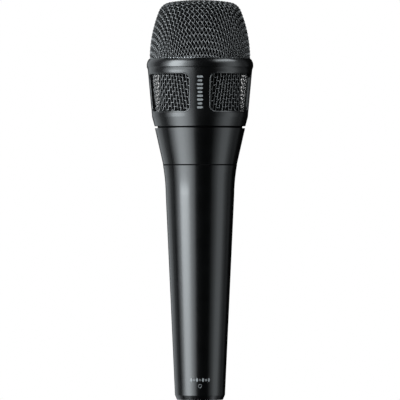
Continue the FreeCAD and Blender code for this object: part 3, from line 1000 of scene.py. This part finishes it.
def rounded_rectangle(wide, tall, corner):
    """Points of an outline of half sizes wide and tall, with rounded corners."""
    signs = ((1, 1), (-1, 1), (-1, -1), (1, -1))

    def on_corner(index, turn):
        x, z = signs[index % 4]
        across = x * (wide - corner) + corner * math.cos(turn)
        return across, z * (tall - corner) + corner * math.sin(turn)

    points = []
    for index in range(4):
        start = math.pi / 2 * index
        for step in range(CORNER_STEPS + 1):
            points.append(on_corner(index, start + math.pi / 2 * step / CORNER_STEPS))
        first, end = points[-1], on_corner(index + 1, start + math.pi / 2)
        for step in range(1, STRAIGHT_STEPS):
            share = step / STRAIGHT_STEPS
            points.append(tuple(a + (b - a) * share for a, b in zip(first, end)))
    return points


class MIC_OT_coil(bpy.types.Operator):
    """Wind the voice coil, turn by turn"""

    bl_idname = "mic.coil"
    bl_label = "Wind the coil"

    def execute(self, context):
        sizes = context.scene.mic_sizes
        low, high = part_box("voice_coil")
        turns = round((high.z - low.z) / (2 * sizes.coil_wire))
        step = (high.z - low.z) / turns
        outer, inner = [], []
        for index in range(turns * 8 + 1):
            height = low.z + step * index / 8
            swell = abs(math.sin(math.pi * index / 8))
            outer.append((high.x - step * 0.32 * (1 - swell), height))
            inner.append((high.x - COIL_THICKNESS, height))
        mesh = mesh_from(spun(outer + inner[::-8], SMALL_STEPS))
        piece_from("coil_winding", mesh, "moving_coil", "copper", ["voice_coil"], None)
        return {"FINISHED"}


def printed_on(node, radius, strokes, proud, name, body):
    """Closed shapes laid on a CAD node from outside and raised by proud.

    Each stroke is a list of columns (across, low, high), across being an arc at the front, at radius.
    """
    skin = Skin(node)
    bm = bmesh.new()

    def spot(across, height, lift):
        return skin.at(across / radius - math.pi / 2, height, lift)

    for columns in strokes:
        rings = []
        for across, low, high in columns:
            rows = [low, (low + high) / 2, high]
            ring = [bm.verts.new(spot(across, height, proud)) for height in rows]
            ring += [bm.verts.new(spot(across, height, -INK_DEPTH)) for height in rows[::-1]]
            rings.append(ring)
        for first, second in zip(rings, rings[1:]):
            for k in range(6):
                bm.faces.new((first[k], first[(k + 1) % 6], second[(k + 1) % 6], second[k]))
        bm.faces.new(rings[0])
        bm.faces.new(rings[-1][::-1])
    bmesh.ops.recalc_face_normals(bm, faces=bm.faces)
    piece_from(name, mesh_from(bm), body, "ink", (), math.radians(30))


def capsule(middle, height, wide, tall, columns=9):
    """Columns of a level bar with rounded ends."""
    shape = []
    round_end = tall / 2
    for index in range(columns):
        across = wide / 2 * math.cos(math.pi * (1 - index / (columns - 1)))
        inset = max(0.0, abs(across) - (wide / 2 - round_end)) / round_end
        half = tall / 2 * max(0.12, math.sqrt(max(0.0, 1 - inset * inset)))
        shape.append((middle + across, height - half, height + half))
    return shape


class MIC_OT_marks(bpy.types.Operator):
    """Print the marks: level bars on the cage, a row of dashes and a small ring near the end"""

    bl_idname = "mic.marks"
    bl_label = "Print the marks"

    def execute(self, context):
        sizes = context.scene.mic_sizes
        bars = []
        step = (BARS_HIGH - BARS_LOW) / sizes.bar_count
        for index in range(sizes.bar_count):
            short = 0.78 if index % 3 == 1 else 1.0
            height = BARS_LOW + step * (index + 0.5)
            bars.append(capsule(0.0, height, sizes.bar_width * short, step * 0.55))
        proud = sizes.ink_height
        printed_on("grille_cage", WINDOW_RADIUS, bars, proud, "cage_bars", "grille")
        dashes = []
        for index, wide in enumerate((1.5, 0.9, 1.5, 0.5, 1.5, 0.9, 1.5)):
            across = (index - 3) * DASH_STEP
            tall = 1.7 * MM if index % 2 else 2.2 * MM
            dashes.append(capsule(across, DASHES_Z, wide * DASH_UNIT, tall, 7))
        for bar in range(RING_BARS):
            # a small ring of short bars under the dashes
            angle = math.tau * bar / RING_BARS
            middle = RING_REACH * math.cos(angle)
            height = RING_Z + RING_REACH * math.sin(angle)
            dashes.append(capsule(middle, height, 0.30 * MM, 0.24 * MM, 5))
        printed_on("handle_tube", TAIL_RADIUS, dashes, proud, "tail_marks", "microphone")
        return {"FINISHED"}


def bending_ring(name, outline, reach, finish, node):
    """A soft ring cut in equal slices.

    reach is not used.
    """
    share = math.tau / SLICES
    for index in range(SLICES):
        middle = share * (index + 0.5)
        along = Vector((math.cos(middle), math.sin(middle), 0.0))
        mesh = mesh_from(spun(outline, SLICE_STEPS, share * index, share))
        piece = object_from(name + "_" + str(index + 1), mesh, finish, SHARP)
        along * reach[0]
        along * reach[1]
        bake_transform(piece)
        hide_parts(node)


class MIC_OT_soft(bpy.types.Operator):
    """Mould the rubber mount and the film of the diaphragm, which bend as the cartridge moves"""

    bl_idname = "mic.soft"
    bl_label = "Mould the soft rings"

    def execute(self, context):
        self.mount()
        self.film()
        return {"FINISHED"}

    def mount(self):
        low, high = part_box("shock_mount")
        outer, inner = high.x, MOUNT_INNER_RADIUS
        hub, rim = inner + MOUNT_HUB, outer - MOUNT_RIM
        middle = (low.z + high.z) / 2
        half = MOUNT_WEB / 2
        web = [(hub + (rim - hub) * k / 8, 0.5 * MM * math.sin(math.pi * k / 8)) for k in range(9)]
        bevel = 0.25 * MM
        outline = [(inner, low.z + bevel), (inner + bevel, low.z)]
        outline += [(hub - bevel, low.z), (hub, low.z + bevel)]
        outline += [(radius, middle - half - swell) for radius, swell in web]
        outline += [(rim, low.z + bevel), (rim + bevel, low.z), (outer, low.z)]
        outline += [(outer, high.z), (rim + bevel, high.z), (rim, high.z - bevel)]
        outline += [(radius, middle + half - swell) for radius, swell in web[::-1]]
        outline += [(hub, high.z - bevel), (hub - bevel, high.z), (inner + bevel, high.z)]
        outline += [(inner, high.z - bevel)]
        reach = (hub, rim * math.cos(math.pi / SLICES))
        bending_ring("mount_slice", outline, reach, "rubber", "shock_mount")

    def film(self):
        low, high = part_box("diaphragm")
        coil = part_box("voice_coil")[1].x
        start, end = coil + FILM_FLAT, high.x - FILM_RIM

        def wave(radius):
            share = (radius - start) / (end - start)
            if not 0 < share < 1:
                return low.z
            ripple = 0.06 * MM * math.sin(share * 5 * math.tau)
            return low.z + (SURROUND_HEIGHT + ripple) * math.sin(math.pi * share) ** 0.9

        radii = [start + (high.x - start) * k / 60 for k in range(61)]
        outline = [(radius, wave(radius)) for radius in radii]
        outline += [(radius, wave(radius) + FILM_THICKNESS) for radius in radii[::-1]]
        reach = (start, end * math.cos(math.pi / SLICES))
        bending_ring("film_slice", outline, reach, "film", "diaphragm")

        edge = coil - COIL_THICKNESS
        top = high.z - low.z - FILM_THICKNESS
        sphere = (edge * edge + top * top) / (2 * top)
        dome = [(start, low.z)]
        for k in range(25):
            radius = edge * (1 - k / 24)
            height = math.sqrt(sphere * sphere - radius * radius) - (sphere - top)
            dome.append((max(radius, 0.0), low.z + height))
        outline = dome + [(radius, height + FILM_THICKNESS) for radius, height in dome[::-1]]
        mesh = mesh_from(spun(outline, SMALL_STEPS))
        piece_from("film_dome", mesh, "moving_coil", "film", ["diaphragm"], None)


# Each panel of light: name, azimuth in degrees from the front towards the right, half its angular
# width, lowest and highest edge, brightness
PANELS = [
    ("key_wash", -54.0, 36.0, -2.1, 2.4, 1.0),
    ("key_wide", -54.0, 28.0, -2.1, 2.4, 1.6),
    ("key_middle", -54.0, 19.0, -2.1, 2.4, 2.2),
    ("key_low_core", -54.0, 11.0, -2.1, 2.4, 1.6),
    ("key_core", -54.0, 16.0, -0.16, 2.2, 7.5),
    ("key_edge", -27.0, 11.0, -2.1, 2.4, 1.3),
    ("right_wash", 71.0, 31.0, -2.1, 2.4, 0.40),
    ("right_middle", 71.0, 21.0, -2.1, 2.4, 0.55),
    ("right_core", 72.0, 12.0, -2.1, 2.4, 0.7),
    ("right_top", 66.0, 26.0, 1.6, 3.3, 6.0),
    ("left_rim", -137.0, 19.0, -2.1, 2.4, 0.85),
    ("left_fill", -110.0, 9.0, -2.1, 2.4, 0.3),
    ("right_rim", 113.0, 12.0, -2.1, 2.4, 0.15),
]
PANEL_DISTANCE = 2.5
PANEL_STEP = 0.02
LIGHT_TINT = (0.91, 0.98, 1.02)
# Panels overhead: name, azimuth, elevation, size, brightness
OVERHEAD = [
    ("top_left", -62.0, 64.0, 1.0, 2.0),
    ("top_back", 180.0, 66.0, 1.2, 2.5),
]
# Strength of the surroundings: what the paint reflects, and what the camera sees
REFLECTED_GLOW, BACKDROP_GLOW = 0.006, 1.0
CAMERA_AT = (0.0, -2.5, 0.0947)
CAMERA_LENS, CAMERA_SHIFT = 470.0, 0.0045


class MIC_OT_stage(bpy.types.Operator):
    """Set the lights, the surroundings and the camera"""

    bl_idname = "mic.stage"
    bl_label = "Set the stage"

    def execute(self, context):
        scene = context.scene
        self.surroundings(scene)
        away = PANEL_DISTANCE
        for name, azimuth, half, low, high, brightness in PANELS:
            away -= PANEL_STEP  # panels side by side in one plane would hide each other
            width = 2 * away * math.tan(math.radians(half))
            where = (azimuth, 0.0, away, (low + high) / 2)
            self.light(name, where, (width, high - low), brightness)
        for name, azimuth, elevation, size, brightness in OVERHEAD:
            where = (azimuth, elevation, PANEL_DISTANCE, 0.15)
            self.light(name, where, (size, size), brightness)
        data = bpy.data.cameras.new("camera")
        data.sensor_width = 36.0
        data.lens = CAMERA_LENS
        data.shift_y = CAMERA_SHIFT
        data.clip_end = 50.0
        camera = bpy.data.objects.new("camera", data)
        camera.location = CAMERA_AT
        camera.rotation_euler = (math.pi / 2, 0.0, 0.0)
        scene.collection.objects.link(camera)
        scene.camera = camera
        scene.view_settings.view_transform = "Standard"
        scene.view_settings.look = "None"
        return {"FINISHED"}

    def surroundings(self, scene):
        """White where the camera looks, and dim where the paint reflects it."""
        world = bpy.data.worlds.new("surroundings")
        world.use_nodes = True
        scene.world = world
        tree = world.node_tree
        tree.nodes.clear()
        output = tree.nodes.new("ShaderNodeOutputWorld")
        mix = tree.nodes.new("ShaderNodeMixShader")
        path = tree.nodes.new("ShaderNodeLightPath")
        tree.links.new(path.outputs["Is Camera Ray"], mix.inputs[0])
        for slot, strength in ((1, REFLECTED_GLOW), (2, BACKDROP_GLOW)):
            glow = tree.nodes.new("ShaderNodeBackground")
            glow.inputs["Strength"].default_value = strength
            glow.inputs["Color"].default_value = (1.0, 1.0, 1.0, 1.0)
            tree.links.new(glow.outputs[0], mix.inputs[slot])
        tree.links.new(mix.outputs[0], output.inputs["Surface"])

    def light(self, name, where, size, brightness):
        """A soft panel that faces the microphone's axis."""
        azimuth, elevation, away, height = where
        data = bpy.data.lights.new(name, "AREA")
        data.shape = "RECTANGLE"
        data.size, data.size_y = size
        data.energy = brightness * math.pi * data.size * data.size_y
        data.color = LIGHT_TINT
        panel = bpy.data.objects.new(name, data)
        turn, rise = math.radians(azimuth), math.radians(elevation)
        out = Vector((math.sin(turn) * math.cos(rise), -math.cos(turn) * math.cos(rise), math.sin(rise)))
        panel.location = out * away + Vector((0.0, 0.0, height))
        panel.rotation_euler = (-out).to_track_quat("-Z", "Y").to_euler()
        panel.visible_camera = False
        bpy.context.scene.collection.objects.link(panel)


class MIC_PT_panel(bpy.types.Panel):
    """Lists the microphone's sizes, colours and pieces"""

    bl_idname = "MIC_PT_panel"
    bl_label = "Microphone"
    bl_space_type = "VIEW_3D"
    bl_region_type = "UI"
    bl_category = "Microphone"

    def draw(self, context):
        for group in (context.scene.mic_sizes, context.scene.mic_colours):
            box = self.layout.box()
            for name in group.bl_rna.properties.keys():
                if name not in ("rna_type", "name"):
                    box.prop(group, name)
        for operator in OPERATORS:
            self.layout.operator(operator.bl_idname)


OPERATORS = [
    MIC_OT_finishes,
    MIC_OT_dome,
    MIC_OT_sleeve,
    MIC_OT_foam,
    MIC_OT_joints,
    MIC_OT_rims,
    MIC_OT_coil,
    MIC_OT_soft,
    MIC_OT_marks,
    MIC_OT_stage,
]
CLASSES = [MIC_PG_sizes, MIC_PG_colours, *OPERATORS, MIC_PT_panel]


def register():
    for each in CLASSES:
        bpy.utils.register_class(each)
    bpy.types.Scene.mic_sizes = PointerProperty(type=MIC_PG_sizes)
    bpy.types.Scene.mic_colours = PointerProperty(type=MIC_PG_colours)


def unregister():
    del bpy.types.Scene.mic_colours
    del bpy.types.Scene.mic_sizes
    for each in reversed(CLASSES):
        bpy.utils.unregister_class(each)


def main():
    register()
    for operator in OPERATORS:
        group, name = operator.bl_idname.split(".")
        getattr(getattr(bpy.ops, group), name)()


if __name__ == "__main__":
    main()
